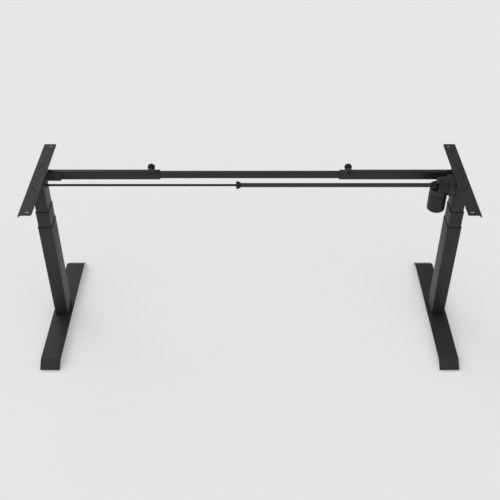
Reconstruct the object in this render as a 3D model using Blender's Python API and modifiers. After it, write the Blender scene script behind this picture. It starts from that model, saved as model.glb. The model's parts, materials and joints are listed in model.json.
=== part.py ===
"""Height-adjustable standing desk frame: two three-stage lifting columns joined by a telescopic cross beam.

One motor drives both columns through a shaft that runs in front of the beam. All sizes are in metres, with
+X along the beam, +Y to the rear and +Z up. The origin is on the floor, midway between the two feet.
"""

import math

import bmesh
import bpy

# ---- driving dimensions -------------------------------------------------------------------------------
GAP = 0.0003                    # clearance between pieces that touch on the real object
SIDES = (("left", -1), ("right", 1))
ENDS = (("front", -1), ("rear", 1))

COLUMN_X = 0.7670               # column centre, from the middle of the desk
COLUMN_Y = 0.0
TUBE_WALL = 0.0016
OUTER_SIZE = (0.053, 0.080)
MID_SIZE = (0.049, 0.076)
INNER_SIZE = (0.045, 0.072)
OUTER_TOP = 0.4718
MID_SPAN = (0.1047, 0.5404)
INNER_SPAN = (0.1662, 0.6625)   # the inner tube ends just under the lip of the bracket
GUIDE_HEIGHT = 0.0035
GUIDE_PROUD = 0.0011            # how far a guide ring stands out past its tube

FOOT_X = 0.766
FOOT_LENGTH = 0.643
FOOT_WIDTH = 0.079
FOOT_LEAN = 0.0105              # how far each side wall leans in from the top of the foot to its lower edge
FOOT_TOP = 0.030
FOOT_SKIRT = 0.004              # lower edge of the foot's sides
FOOT_TIP = 0.0065               # top of the foot at its two ends
FOOT_SLOPE = 0.036              # length of the sloping part at each end
FOOT_SHEET = 0.0025
GLIDE_Y = 0.262
GLIDE_RADIUS = 0.014

BRACKET_TOP = 0.675
BRACKET_SHEET = 0.0025
BRACKET_X = (0.7437, 0.7908)    # inner and outer edge
BRACKET_Y = (-0.232, 0.230)
BRACKET_LIP = 0.012

HEAD_BOTTOM = 0.600             # of the gear housing inside the inner tube

SHAFT_Z = 0.6410
ROD_ACROSS_FLATS = 0.0072
ROD_SPAN = (-0.7585, 0.096)
DRIVE_TUBE_RADIUS = 0.0078
DRIVE_TUBE_BORE = 0.0052
DRIVE_TUBE_SPAN = (-0.0435, 0.6750)

RAIL_DEPTH = 0.018
RAIL_HEIGHT = 0.034
RAIL_WALL = 0.0018
RAIL_FRONT = 0.069
RAIL_TOP = 0.6527
RAIL_SPAN = (0.334, 0.7520)     # inner and outer end, from the middle of the desk
CENTRE_RAIL_SIZE = (0.0138, 0.0264)
CENTRE_RAIL_HALF = 0.428
RAIL_Y = RAIL_FRONT + RAIL_DEPTH / 2
RAIL_Z = RAIL_TOP - RAIL_HEIGHT / 2

CLAMP_X = 0.3665
CLAMP_Z = 0.660
CLAMP_SCREW = 0.003             # radius of the cross screw
CLAMP_WASHER = 0.0085           # radius
KNOB_RADIUS = 0.0135
CLAMP_NUT_RADIUS = 0.0140
EAR_THICKNESS = 0.003

SPINDLE_RADIUS = 0.006
SCREW_TUBE_RADIUS = 0.010       # outside of the hollow lower spindle
SCREW_TUBE_BORE = 0.00675

MOTOR_X = 0.6960
MOTOR_Y = COLUMN_Y + 0.012
MOTOR_RADIUS = 0.0331
MOTOR_SPAN = (0.527, 0.5998)
NECK_RADIUS = 0.0328            # of the upright part of the gearbox that the motor hangs from
NECK_TOP = 0.6235
GEARBOX_SPAN = (0.6858, 0.7204)
GEARBOX_RADIUS = 0.0306
COUPLING_SPAN = (0.6604, 0.6815)
COUPLING_RADIUS = 0.0160
FLANGE_SPAN = (0.7207, COLUMN_X - INNER_SIZE[0] / 2 - GAP)
FLANGE_RADIUS = 0.0405
FLANGE_TOP = 0.6718             # the flange is cut flat just below the brackets' underside

ALONG_X = (math.pi / 2, 0, math.pi / 2)     # an outline's x, y and thickness become Y, Z and X
ALONG_Y = (math.pi / 2, 0, 0)               # an outline's x and y become X and Z
TURN_X = (0, math.pi / 2, 0)                # a turned piece's axis becomes +X
TURN_Y = (-math.pi / 2, 0, 0)               # a turned piece's axis becomes +Y


# ---- scene --------------------------------------------------------------------------------------------
def clear_scene():
    for obj in list(bpy.data.objects):
        bpy.data.objects.remove(obj)


def new_collection(name):
    collection = bpy.data.collections.new(name)
    bpy.context.scene.collection.children.link(collection)
    return collection


def finish(name, colour, roughness, metallic):
    """A Principled material."""
    material = bpy.data.materials.new(name)
    material.use_nodes = True
    shader = material.node_tree.nodes["Principled BSDF"]
    shader.inputs["Base Color"].default_value = (*colour, 1)
    shader.inputs["Roughness"].default_value = roughness
    shader.inputs["Metallic"].default_value = metallic
    material.diffuse_color = (*colour, 1)
    return material


clear_scene()
PARTS = new_collection("standing_desk_frame")
CUTTERS = new_collection("cutters")
POWDER = finish("powder_coat", (0.030, 0.030, 0.032), 0.55, 0.0)
MOTOR_PAINT = finish("motor_paint", (0.022, 0.022, 0.024), 0.45, 0.0)
CAST = finish("cast_housing", (0.050, 0.050, 0.053), 0.5, 0.0)
PLASTIC = finish("black_plastic", (0.012, 0.012, 0.013), 0.5, 0.0)
RUBBER = finish("rubber", (0.015, 0.015, 0.015), 0.8, 0.0)
STEEL = finish("bright_steel", (0.55, 0.55, 0.56), 0.35, 1.0)
BLACK_STEEL = finish("black_steel", (0.040, 0.040, 0.042), 0.4, 0.6)
BRONZE = finish("bronze", (0.50, 0.33, 0.14), 0.4, 1.0)


# ---- outlines -----------------------------------------------------------------------------------------
def arc(cx, cy, radius, start, end, steps):
    """Points on a circle about (cx, cy), from start to end degrees."""
    angles = [math.radians(start + (end - start) * i / steps) for i in range(steps + 1)]
    return [(cx + radius * math.cos(a), cy + radius * math.sin(a)) for a in angles]


def rounded_rectangle(width, depth, radius, steps=4):
    x, y = width / 2 - radius, depth / 2 - radius
    corners = ((x, y, 0), (-x, y, 90), (-x, -y, 180), (x, -y, 270))
    return [p for cx, cy, start in corners for p in arc(cx, cy, radius, start, start + 90, steps)]


def slot_outline(start, end, radius, steps=4):
    """A slot with round ends, centred on the line from start to end."""
    angle = math.degrees(math.atan2(end[1] - start[1], end[0] - start[0]))
    return (arc(*end, radius, angle - 90, angle + 90, steps)
            + arc(*start, radius, angle + 90, angle + 270, steps))


# ---- solids -------------------------------------------------------------------------------------------
def realised(source, name, material, collection):
    """The evaluated shape of source as a plain mesh object, with loose caps welded and faces turned outwards."""
    graph = bpy.context.evaluated_depsgraph_get()
    mesh = bpy.data.meshes.new_from_object(source.evaluated_get(graph))
    matrix = source.matrix_world.copy()
    bpy.data.objects.remove(source)
    work = bmesh.new()
    work.from_mesh(mesh)
    bmesh.ops.remove_doubles(work, verts=work.verts, dist=1e-6)
    bmesh.ops.recalc_face_normals(work, faces=work.faces)
    work.to_mesh(mesh)
    work.free()
    mesh.shade_smooth()
    mesh.set_sharp_from_angle(angle=math.radians(35))
    mesh.materials.clear()
    mesh.materials.append(material or PLASTIC)
    mesh.name = name
    obj = bpy.data.objects.new(name, mesh)
    obj.matrix_world = matrix
    collection.objects.link(obj)
    if collection == CUTTERS:
        obj.hide_render = True
        obj.display_type = "WIRE"
    return obj


def place(obj, location, rotation):
    obj.location = location
    obj.rotation_euler = rotation
    bpy.context.scene.collection.objects.link(obj)
    bpy.context.view_layer.update()
    return obj


def extruded(name, outlines, length, centre, rotation=(0, 0, 0), material=None, collection=None):
    """A flat shape, whose first outline is its edge and whose others are holes, extruded to length about centre."""
    curve = bpy.data.curves.new(name, "CURVE")
    curve.dimensions = "2D"
    curve.fill_mode = "BOTH"
    curve.extrude = length / 2
    for outline in outlines:
        spline = curve.splines.new("POLY")
        spline.points.add(len(outline) - 1)
        for point, (x, y) in zip(spline.points, outline):
            point.co = (x, y, 0, 1)
        spline.use_cyclic_u = True
    source = place(bpy.data.objects.new(name + "_outline", curve), centre, rotation)
    return realised(source, name, material, collection or PARTS)


def turned(name, profile, centre, rotation=(0, 0, 0), steps=24, material=None, collection=None, closed=False):
    """A turned solid. The profile is (radius, height) from top to bottom down its outer side, about centre's axis."""
    mesh = bpy.data.meshes.new(name)
    count = len(profile)
    edges = [(i, i + 1) for i in range(count - 1)] + ([(count - 1, 0)] if closed else [])
    mesh.from_pydata([(r, 0, z) for r, z in profile], edges, [])
    source = place(bpy.data.objects.new(name + "_profile", mesh), centre, rotation)
    screw = source.modifiers.new("screw", "SCREW")
    screw.angle = 2 * math.pi
    screw.steps = steps
    screw.render_steps = steps
    screw.use_merge_vertices = True
    screw.merge_threshold = 0.00001
    return realised(source, name, material, collection or PARTS)


def rod(name, radius, low, high, centre, rotation=(0, 0, 0), steps=24, material=None, collection=None):
    """A plain round bar between two heights along its axis."""
    profile = [(0, high), (radius, high), (radius, low), (0, low)]
    return turned(name, profile, centre, rotation, steps, material, collection)


def ring(name, outer, bore, low, high, centre, rotation=(0, 0, 0), steps=24, material=None):
    """A round tube or washer between two heights along its axis."""
    profile = [(outer, high), (outer, low), (bore, low), (bore, high)]
    return turned(name, profile, centre, rotation, steps, material, closed=True)


def block(name, low, high, material=None, collection=None):
    """A box between its lowest and highest corners."""
    lows = [min(a, b) for a, b in zip(low, high)]
    highs = [max(a, b) for a, b in zip(low, high)]
    mesh = bpy.data.meshes.new(name)
    work = bmesh.new()
    bmesh.ops.create_cube(work, size=1)
    bmesh.ops.scale(work, verts=work.verts, vec=[b - a for a, b in zip(lows, highs)])
    work.to_mesh(mesh)
    work.free()
    middle = [(a + b) / 2 for a, b in zip(lows, highs)]
    source = place(bpy.data.objects.new(name + "_block", mesh), middle, (0, 0, 0))
    return realised(source, name, material, collection or PARTS)


def leaning_solid(name, half, rise, heights, half_widths, centre, material=None, collection=None):
    """A long bar along Y with side walls that lean in and sloping ends.

    half and rise are its half length below and on top. heights are those of the lower edge, of the tips and
    of the top; half_widths are at the lower edge, at the tips and on top."""
    skirt, tip, top = heights
    at_skirt, at_tip, at_top = half_widths
    outline = [(-half, skirt, at_skirt), (half, skirt, at_skirt), (half, tip, at_tip), (rise, top, at_top),
               (-rise, top, at_top), (-half, tip, at_tip)]
    vertices = [(y, z, sign * x) for sign in (-1, 1) for y, z, x in outline]
    count = len(outline)
    faces = [(i, (i + 1) % count, (i + 1) % count + count, i + count) for i in range(count)]
    for first in (0, count):
        faces += [(first, first + 1, first + 3, first + 4), (first + 1, first + 2, first + 3),
                  (first, first + 4, first + 5)]
    mesh = bpy.data.meshes.new(name)
    mesh.from_pydata(vertices, [], faces)
    source = place(bpy.data.objects.new(name + "_bar", mesh), centre, ALONG_X)
    return realised(source, name, material, collection or PARTS)


def round_long_edges(obj, lowest, radius):
    """Rounds the edges along both sides of a piece extruded along X, where they lie above the height lowest."""
    work = bmesh.new()
    work.from_mesh(obj.data)
    chosen = [edge for edge in work.edges
              if edge.verts[0].co.z * edge.verts[1].co.z > 0
              and min(vert.co.y for vert in edge.verts) > lowest
              and edge.calc_face_angle() > math.radians(60)]
    bmesh.ops.bevel(work, geom=chosen, offset=radius, segments=2, profile=0.5, affect="EDGES",
                    clamp_overlap=True)
    bmesh.ops.remove_doubles(work, verts=work.verts, dist=1e-6)
    work.to_mesh(obj.data)
    work.free()


def combine(target, tool, operation):
    modifier = target.modifiers.new(tool.name, "BOOLEAN")
    modifier.operation = operation
    modifier.solver = "EXACT"
    modifier.object = tool


def cut(target, tool):
    combine(target, tool, "DIFFERENCE")


def join(target, tool):
    combine(target, tool, "UNION")


def rectangular_tube(name, size, wall, radius, span, centre, rotation=(0, 0, 0), material=None):
    """A tube with rounded corners; span is its two ends along its length."""
    inner = rounded_rectangle(size[0] - 2 * wall, size[1] - 2 * wall, max(radius - wall, 0.0006))
    middle = list(centre)
    middle[2 if rotation == (0, 0, 0) else 0] += sum(span) / 2
    outlines = [rounded_rectangle(*size, radius), inner]
    return extruded(name, outlines, span[1] - span[0], middle, rotation, material)


# ---- leg: foot and glides -----------------------------------------------------------------------------
def make_foot(side, sign):
    """Folded sheet, open below: level on top, sloping down at both ends, with side walls that lean in."""
    x = sign * FOOT_X
    name = side + "_foot"
    half, rise, half_width = FOOT_LENGTH / 2, FOOT_LENGTH / 2 - FOOT_SLOPE, FOOT_WIDTH / 2
    foot = leaning_solid(name, half, rise, (FOOT_SKIRT, FOOT_TIP, FOOT_TOP),
                         (half_width - FOOT_LEAN, half_width, half_width), (x, 0, 0), POWDER)
    round_long_edges(foot, FOOT_TIP - 0.0001, 0.0015)
    solid_tip = 0.020
    lean = FOOT_LEAN / (FOOT_TOP - FOOT_SKIRT)
    inside = half_width - FOOT_SHEET * math.hypot(1, lean)
    mouth, roof = FOOT_SKIRT - 0.003, FOOT_TOP - FOOT_SHEET
    tip_roof = FOOT_TIP + (FOOT_TOP - FOOT_TIP) * solid_tip / FOOT_SLOPE - 1.2 * FOOT_SHEET
    widths = [inside - lean * (FOOT_TOP - z) for z in (mouth, tip_roof, roof)]
    leaning_solid(name + "_hollow", half - solid_tip, rise, (mouth, tip_roof, roof), widths, (x, 0, 0),
                  collection=CUTTERS)
    cut(foot, CUTTERS.objects[name + "_hollow"])
    for end, direction in ENDS:
        centre = (x, direction * GLIDE_Y, 0)
        roof = FOOT_TOP - FOOT_SHEET / 2
        threaded = [(0, roof), (0.008, roof), (0.008, 0.0125), (0.0043, 0.0125), (0.0043, 0.0265), (0, 0.0265)]
        join(foot, turned(f"{name}_{end}_boss", threaded, centre, steps=16, collection=CUTTERS))
        profile = [(0, 0.0255), (0.004, 0.0255), (0.004, 0.0050), (0.0115, 0.0050), (GLIDE_RADIUS, 0.0035),
                   (GLIDE_RADIUS, 0), (0, 0)]
        turned(f"{side}_glide_{end}", profile, centre, material=RUBBER)


# ---- leg: the three column tubes and their guide rings -------------------------------------------------
def make_tube(name, size, radius, span, sign):
    return rectangular_tube(name, size, TUBE_WALL, radius, span, (sign * COLUMN_X, COLUMN_Y, 0), material=POWDER)


def make_guide(name, tube, passing, radius, bottom, sign):
    """The plastic ring on top of one tube, in which the next tube slides."""
    outer = rounded_rectangle(tube[0] + 2 * GUIDE_PROUD, tube[1] + 2 * GUIDE_PROUD, radius + GUIDE_PROUD)
    inner = rounded_rectangle(passing[0] + 2 * GAP, passing[1] + 2 * GAP, radius - 0.0003)
    centre = (sign * COLUMN_X, COLUMN_Y, bottom + GUIDE_HEIGHT / 2)
    extruded(name, [outer, inner], GUIDE_HEIGHT, centre, material=PLASTIC)


def make_columns(side, sign):
    foot_plane = FOOT_TOP + GAP
    make_tube(side + "_outer_column", OUTER_SIZE, 0.0045, (foot_plane, OUTER_TOP), sign)
    make_guide(side + "_outer_guide", OUTER_SIZE, MID_SIZE, 0.0045, OUTER_TOP + GAP, sign)
    make_tube(side + "_mid_column", MID_SIZE, 0.0040, MID_SPAN, sign)
    make_guide(side + "_mid_guide", MID_SIZE, INNER_SIZE, 0.0040, MID_SPAN[1] + GAP, sign)
    inner = make_tube(side + "_inner_column", INNER_SIZE, 0.0035, INNER_SPAN, sign)
    shaft_hole = rod(side + "_shaft_hole", 0.0108, -0.006, 0.006,
                     (sign * (COLUMN_X - INNER_SIZE[0] / 2), COLUMN_Y, SHAFT_Z), TURN_X, collection=CUTTERS)
    cut(inner, shaft_hole)


# ---- leg: posts, nuts and spindles inside the columns --------------------------------------------------
def plate_and_post(name, size, plate_span, post_top, outer, bore, sign):
    """A rectangular plate welded inside the bottom of a tube, with a round post on it, both open along the axis."""
    centre = (sign * COLUMN_X, COLUMN_Y, 0)
    middle = (centre[0], centre[1], sum(plate_span) / 2)
    inside = [s - 2 * TUBE_WALL - 2 * GAP for s in size]
    plate = extruded(name, [rounded_rectangle(*inside, 0.0026)], plate_span[1] - plate_span[0], middle,
                     material=STEEL)
    join(plate, rod(name + "_tube", outer, plate_span[0] + 0.001, post_top, centre, collection=CUTTERS))
    cut(plate, rod(name + "_bore", bore, plate_span[0] - 0.01, post_top + 0.01, centre, collection=CUTTERS))


def make_lifting_gear(side, sign):
    centre = (sign * COLUMN_X, COLUMN_Y, 0)
    base_plate = (FOOT_TOP + 2 * GAP, FOOT_TOP + 0.0063)
    lower_post_top = OUTER_TOP - 0.0498
    plate_and_post(side + "_base_post", OUTER_SIZE, base_plate, lower_post_top, 0.015, 0.01125, sign)
    ring(side + "_lower_nut", 0.015, SCREW_TUBE_RADIUS + GAP, lower_post_top + GAP, lower_post_top + 0.028, centre,
         material=BRONZE)
    mid_plate = (MID_SPAN[0] + 0.0005, MID_SPAN[0] + 0.0045)
    upper_post_top = MID_SPAN[1] - 0.0247
    ring(side + "_lower_spindle", SCREW_TUBE_RADIUS, SCREW_TUBE_BORE, MID_SPAN[0] + 0.005, upper_post_top - 0.001,
         centre, material=STEEL)
    plate_and_post(side + "_mid_post", MID_SIZE, mid_plate, upper_post_top, 0.018, 0.016, sign)
    ring(side + "_upper_nut", 0.0195, SPINDLE_RADIUS + GAP, upper_post_top + GAP, upper_post_top + 0.026, centre,
         material=BRONZE)
    rod(side + "_upper_spindle", SPINDLE_RADIUS, INNER_SPAN[0] + 0.060, SHAFT_Z - 0.0075, centre, material=STEEL)


# ---- leg: head housing with its pair of bevel gears ----------------------------------------------------
def make_head(side, sign):
    x = sign * COLUMN_X
    inside = [s - 2 * TUBE_WALL - 2 * GAP for s in INNER_SIZE]
    name = side + "_head_housing"
    span = (HEAD_BOTTOM, BRACKET_TOP - BRACKET_SHEET - GAP)
    head = extruded(name, [rounded_rectangle(*inside, 0.0016)], span[1] - span[0], (x, COLUMN_Y, sum(span) / 2),
                    material=CAST)
    cut(head, block(name + "_gear_space", (x - 0.0170, COLUMN_Y - 0.018, SHAFT_Z - 0.0233),
                    (x + 0.0170, COLUMN_Y + 0.018, SHAFT_Z + 0.0187), collection=CUTTERS))
    cut(head, rod(name + "_shaft_way", 0.0100, -0.012, 0.012,
                  (sign * (COLUMN_X - INNER_SIZE[0] / 2), COLUMN_Y, SHAFT_Z), TURN_X, collection=CUTTERS))
    cut(head, rod(name + "_spindle_way", 0.0066, HEAD_BOTTOM - 0.01, SHAFT_Z - 0.0200, (x, COLUMN_Y, 0),
                  collection=CUTTERS))
    screw_x, screw_y = BRACKET_SCREWS[1]
    cut(head, rod(name + "_screw_way", 0.0033, SCREW_HOLE_BOTTOM, 0.680, (sign * screw_x, screw_y, 0),
                  steps=12, collection=CUTTERS))
    spindle_gear = [(0.0076, -0.0080), (0.0134, -0.0140), (0.0115, -0.0165), (0.0115, -0.0213),
                    (SPINDLE_RADIUS + GAP, -0.0213), (SPINDLE_RADIUS + GAP, -0.0080)]
    turned(side + "_spindle_gear", spindle_gear, (x, COLUMN_Y, SHAFT_Z), material=STEEL, closed=True)
    shaft_gear = [(0.0076, -0.0080), (0.0134, -0.0140), (0.0115, -0.0163), (0.0090, -0.0163),
                  (0.0090, -0.0180), (0.0045, -0.0180), (0.0045, -0.0080)]
    turned(side + "_shaft_gear", shaft_gear, (x, COLUMN_Y, SHAFT_Z), (0, sign * math.pi / 2, 0),
           material=STEEL, closed=True)


# ---- leg: side bracket under the table top --------------------------------------------------------------
BRACKET_SCREWS = ((0.7520, 0.045), (0.7760, -0.001))    # into the rail socket, and into the head housing
SCREW_HOLE_BOTTOM = 0.6635
BRACKET_SLOTS = (((0.7780, 0.055), (0.7575, 0.089)), ((0.7780, -0.055), (0.7575, -0.089)))
END_SLOTS = (((0.7560, 0.214), (0.7660, 0.214)), ((0.7560, -0.214), (0.7660, -0.214)))


def bracket_outline(sign):
    """Top view of a side bracket, with rounded corners and a small tab on its inner edge above the beam."""
    inner, outer = BRACKET_X
    front, rear = BRACKET_Y
    r = 0.006
    tab_low, tab_high, tab = 0.033, 0.059, 0.004
    points = (arc(inner + r, front + r, r, 180, 270, 4) + arc(outer - r, front + r, r, 270, 360, 4)
              + arc(outer - r, rear - r, r, 0, 90, 4) + arc(inner + r, rear - r, r, 90, 180, 4)
              + [(inner, tab_high), (inner - tab, tab_high - tab), (inner - tab, tab_low + tab),
                 (inner, tab_low)])
    return [(sign * x, y) for x, y in points]


def make_bracket(side, sign):
    name = side + "_side_bracket"
    slots = [slot_outline(*ends, 0.0015) for ends in BRACKET_SLOTS]
    slots += [slot_outline(*ends, 0.0033) for ends in END_SLOTS]
    outlines = [bracket_outline(sign)] + [[(sign * x, y) for x, y in slot] for slot in slots]
    centre = (0, 0, BRACKET_TOP - BRACKET_SHEET / 2)
    bracket = extruded(name, outlines, BRACKET_SHEET, centre, material=POWDER)
    outer = BRACKET_X[1]
    lip_low = (sign * (outer - BRACKET_SHEET), BRACKET_Y[0] + 0.0062, BRACKET_TOP - BRACKET_LIP)
    lip_high = (sign * outer, BRACKET_Y[1] - 0.0062, BRACKET_TOP - BRACKET_SHEET / 2)
    join(bracket, block(name + "_lip", lip_low, lip_high, collection=CUTTERS))
    for index, (x, y) in enumerate(BRACKET_SCREWS, 1):
        centre = (sign * x, y, 0)
        sink = [(0, 0.680), (0.0058, 0.680), (0.0058, BRACKET_TOP - 0.0002), (0.0034, BRACKET_TOP - 0.0024),
                (0.0034, 0.670), (0, 0.670)]
        cut(bracket, turned(f"{name}_sink_{index}", sink, centre, steps=16, collection=CUTTERS))
        screw = [(0, 0.6748), (0.0052, 0.6748), (0.0030, 0.6726), (0.0030, 0.6650), (0, 0.6650)]
        turned(f"{side}_bracket_screw_{index}", screw, centre, steps=16, material=BLACK_STEEL)


# ---- cross beam -----------------------------------------------------------------------------------------
def beam_tube(name, depth, height, wall, radius, span):
    return rectangular_tube(name, (depth, height), wall, radius, span, (0, RAIL_Y, RAIL_Z), ALONG_X, POWDER)


def make_outer_rail(side, sign):
    """One telescopic end of the beam, slit at its mouth and with two ears that the clamp knob pulls together."""
    name = side + "_outer_rail"
    span = sorted(sign * x for x in RAIL_SPAN)
    rail = beam_tube(name, RAIL_DEPTH, RAIL_HEIGHT, RAIL_WALL, 0.0025, span)
    rear = RAIL_FRONT + RAIL_DEPTH
    for label, low, high in (("front", RAIL_FRONT, RAIL_FRONT + EAR_THICKNESS), ("rear", rear - EAR_THICKNESS, rear)):
        outline = [(-0.012, RAIL_TOP - 0.0012), (0.012, RAIL_TOP - 0.0012), *arc(0, CLAMP_Z + 0.001, 0.0085, 0, 180, 6)]
        ear = extruded(f"{name}_{label}_ear", [outline], high - low, (sign * CLAMP_X, (low + high) / 2, 0), ALONG_Y,
                       collection=CUTTERS)
        join(rail, ear)
    mouth = sign * RAIL_SPAN[0]
    cut(rail, block(name + "_slit", (mouth - sign * 0.01, RAIL_Y - 0.0008, RAIL_TOP - 0.004),
                    (mouth + sign * 0.055, RAIL_Y + 0.0008, RAIL_TOP + 0.004), collection=CUTTERS))
    cut(rail, rod(name + "_screw_way", CLAMP_SCREW + GAP, -0.03, 0.03, (sign * CLAMP_X, RAIL_Y, CLAMP_Z), TURN_Y,
                  steps=16, collection=CUTTERS))


def make_rail_socket(side, sign):
    """The saddle that a rail's outer end lies in, with the block that hangs it from the bracket."""
    name = side + "_rail_socket"
    wall, floor = 0.002, 0.0055
    low, high = RAIL_TOP - RAIL_HEIGHT - GAP - floor, RAIL_TOP - 0.004
    front, rear = RAIL_FRONT - GAP - wall, RAIL_FRONT + RAIL_DEPTH + GAP + wall
    saddle = [(front + 0.002, low), (rear - 0.002, low), (rear, low + 0.002), (rear, high), (rear - wall, high),
              (rear - wall, low + floor), (front + wall, low + floor), (front + wall, high), (front, high),
              (front, low + 0.002)]
    inner_end, outer_end = 0.7050, 0.7570
    centre = (sign * (inner_end + outer_end) / 2, 0, 0)
    socket = extruded(name, [saddle], outer_end - inner_end, centre, ALONG_X, POWDER)
    block_top = BRACKET_TOP - BRACKET_SHEET - GAP
    tube_rear = COLUMN_Y + INNER_SIZE[1] / 2 + GAP
    join(socket, block(name + "_rear_block", (sign * 0.7525, front + 0.0001, low + 0.0001),
                       (sign * 0.7870, rear - 0.0001, block_top), collection=CUTTERS))
    join(socket, block(name + "_front_block", (sign * 0.7475, tube_rear, 0.6615),
                       (sign * 0.7869, front + 0.0005, block_top - 0.0001), collection=CUTTERS))
    screw_x, screw_y = BRACKET_SCREWS[0]
    cut(socket, rod(name + "_screw_way", 0.0033, SCREW_HOLE_BOTTOM, 0.680, (sign * screw_x, screw_y, 0),
                    steps=12, collection=CUTTERS))


def make_clamp(side, sign):
    """Knob with its cross screw, the washer under it, and the round nut behind the rear ear."""
    centre = (sign * CLAMP_X, 0, CLAMP_Z)
    front = RAIL_FRONT - GAP
    rear = RAIL_FRONT + RAIL_DEPTH + GAP
    washer_front = front - 0.0016
    ring(side + "_clamp_washer", CLAMP_WASHER, CLAMP_SCREW + GAP, washer_front, front, centre, TURN_Y, material=STEEL)
    back = washer_front - GAP
    profile = [(0, rear + 0.0110), (CLAMP_SCREW, rear + 0.0110), (CLAMP_SCREW, back), (0.0095, back),
               (KNOB_RADIUS, back - 0.0030), (KNOB_RADIUS, back - 0.0150), (KNOB_RADIUS - 0.0020, back - 0.0175),
               (0.0080, back - 0.0175), (0.0070, back - 0.0140), (0, back - 0.0140)]
    turned(side + "_clamp_knob", profile, centre, TURN_Y, material=PLASTIC)
    nut = [(0.0095, rear + 0.0095), (CLAMP_NUT_RADIUS, rear + 0.0075), (CLAMP_NUT_RADIUS, rear + 0.0020), (0.0095, rear),
           (CLAMP_SCREW + GAP, rear), (CLAMP_SCREW + GAP, rear + 0.0095)]
    turned(side + "_clamp_nut", nut, centre, TURN_Y, material=PLASTIC, closed=True)


def make_centre_rail():
    span = (-CENTRE_RAIL_HALF, CENTRE_RAIL_HALF)
    beam_tube("centre_rail", *CENTRE_RAIL_SIZE, 0.0015, 0.002, span)


# ---- drive: motor, gearbox and shaft ----------------------------------------------------------------------
def make_drive_shaft():
    axis = (0, COLUMN_Y, SHAFT_Z)
    corner = ROD_ACROSS_FLATS / math.sqrt(3)
    hexagon = arc(0, 0, corner, 0, 300, 5)
    middle = (sum(ROD_SPAN) / 2, COLUMN_Y, SHAFT_Z)
    extruded("hex_rod", [hexagon], ROD_SPAN[1] - ROD_SPAN[0], middle, ALONG_X, BLACK_STEEL)
    ring("drive_tube", DRIVE_TUBE_RADIUS, DRIVE_TUBE_BORE, *DRIVE_TUBE_SPAN, axis, TURN_X, material=POWDER)
    start, mouth, tail = -0.0499, DRIVE_TUBE_SPAN[0] - GAP, -0.0331
    collar_profile = [(0.0089, tail), (0.0140, -0.0406), (0.0140, start + 0.001), (0.0130, start),
                      (0.0048, start), (0.0048, mouth), (DRIVE_TUBE_RADIUS + GAP, mouth),
                      (DRIVE_TUBE_RADIUS + GAP, tail)]
    collar = turned("shaft_collar", collar_profile, axis, TURN_X, steps=32, material=BLACK_STEEL, closed=True)
    screw_centre = (-0.0467, COLUMN_Y, SHAFT_Z)
    cut(collar, rod("collar_screw_way", 0.0023, 0.0035, 0.020, screw_centre, steps=12, collection=CUTTERS))
    rod("collar_screw", 0.0020, 0.0050, 0.0155, screw_centre, steps=12, material=STEEL)
    tube_end = DRIVE_TUBE_SPAN[1]
    stub = COLUMN_X - 0.0085
    low, high = COUPLING_SPAN
    shoulder = [(COUPLING_RADIUS - 0.0002, low + 0.0150), (0.0146, low + 0.0110), (0.0131, low + 0.0072),
                (0.0108, low + 0.0032), (0.0092, low)]
    coupling = [(0, stub), (0.0041, stub), (0.0041, high), (COUPLING_RADIUS - 0.0010, high),
                (COUPLING_RADIUS, high - 0.0012), *shoulder, (DRIVE_TUBE_RADIUS + GAP, low),
                (DRIVE_TUBE_RADIUS + GAP, tube_end + GAP), (0, tube_end + GAP)]
    turned("shaft_coupling", coupling, axis, TURN_X, material=BLACK_STEEL)


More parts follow.
